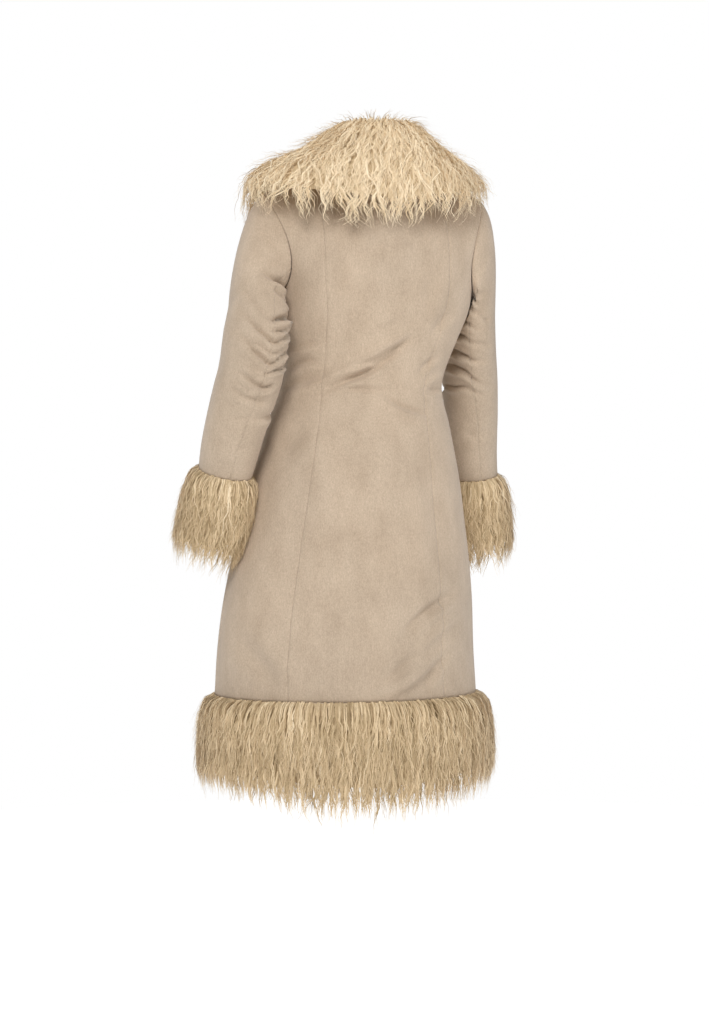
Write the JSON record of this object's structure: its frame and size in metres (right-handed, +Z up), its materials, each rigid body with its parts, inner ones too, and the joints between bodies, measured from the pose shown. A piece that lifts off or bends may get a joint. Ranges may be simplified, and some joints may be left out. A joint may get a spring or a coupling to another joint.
{
  "type": "afghan coat",
  "caption": "Long fitted coat of suede-like cloth with a wide shaggy pile collar, pile cuffs and a deep pile hem band, in the form it has when worn.",
  "frame": {"origin": "middle of the neck base, level with the tops of the shoulders, where the wearer's neck and shoulders hold the coat", "axes": "+Z up, from the hem towards the collar; -Y the side of the front opening; +X towards the wearer's left"},
  "size_m": [0.6743, 0.4356, 1.243],
  "materials": {
    "suede_cloth": "matt, brushed suede-like cloth with a very fine upright rib, sand colour",
    "shaggy_pile": "long wavy clumped pile, cream with straw-coloured shadows"
  },
  "bodies": {
    "root": {"back_centre": "suede_cloth", "back_side_left": "suede_cloth", "back_side_right": "suede_cloth", "front_left": "suede_cloth", "front_right": "suede_cloth", "sleeve_top_left": "suede_cloth", "sleeve_under_left": "suede_cloth", "sleeve_top_right": "suede_cloth", "sleeve_under_right": "suede_cloth", "fur_collar": "shaggy_pile", "fur_cuff_left": "shaggy_pile", "fur_cuff_right": "shaggy_pile", "fur_hem_back": "shaggy_pile", "fur_hem_front_left": "shaggy_pile", "fur_hem_front_right": "shaggy_pile"}
  },
  "joints": []
}
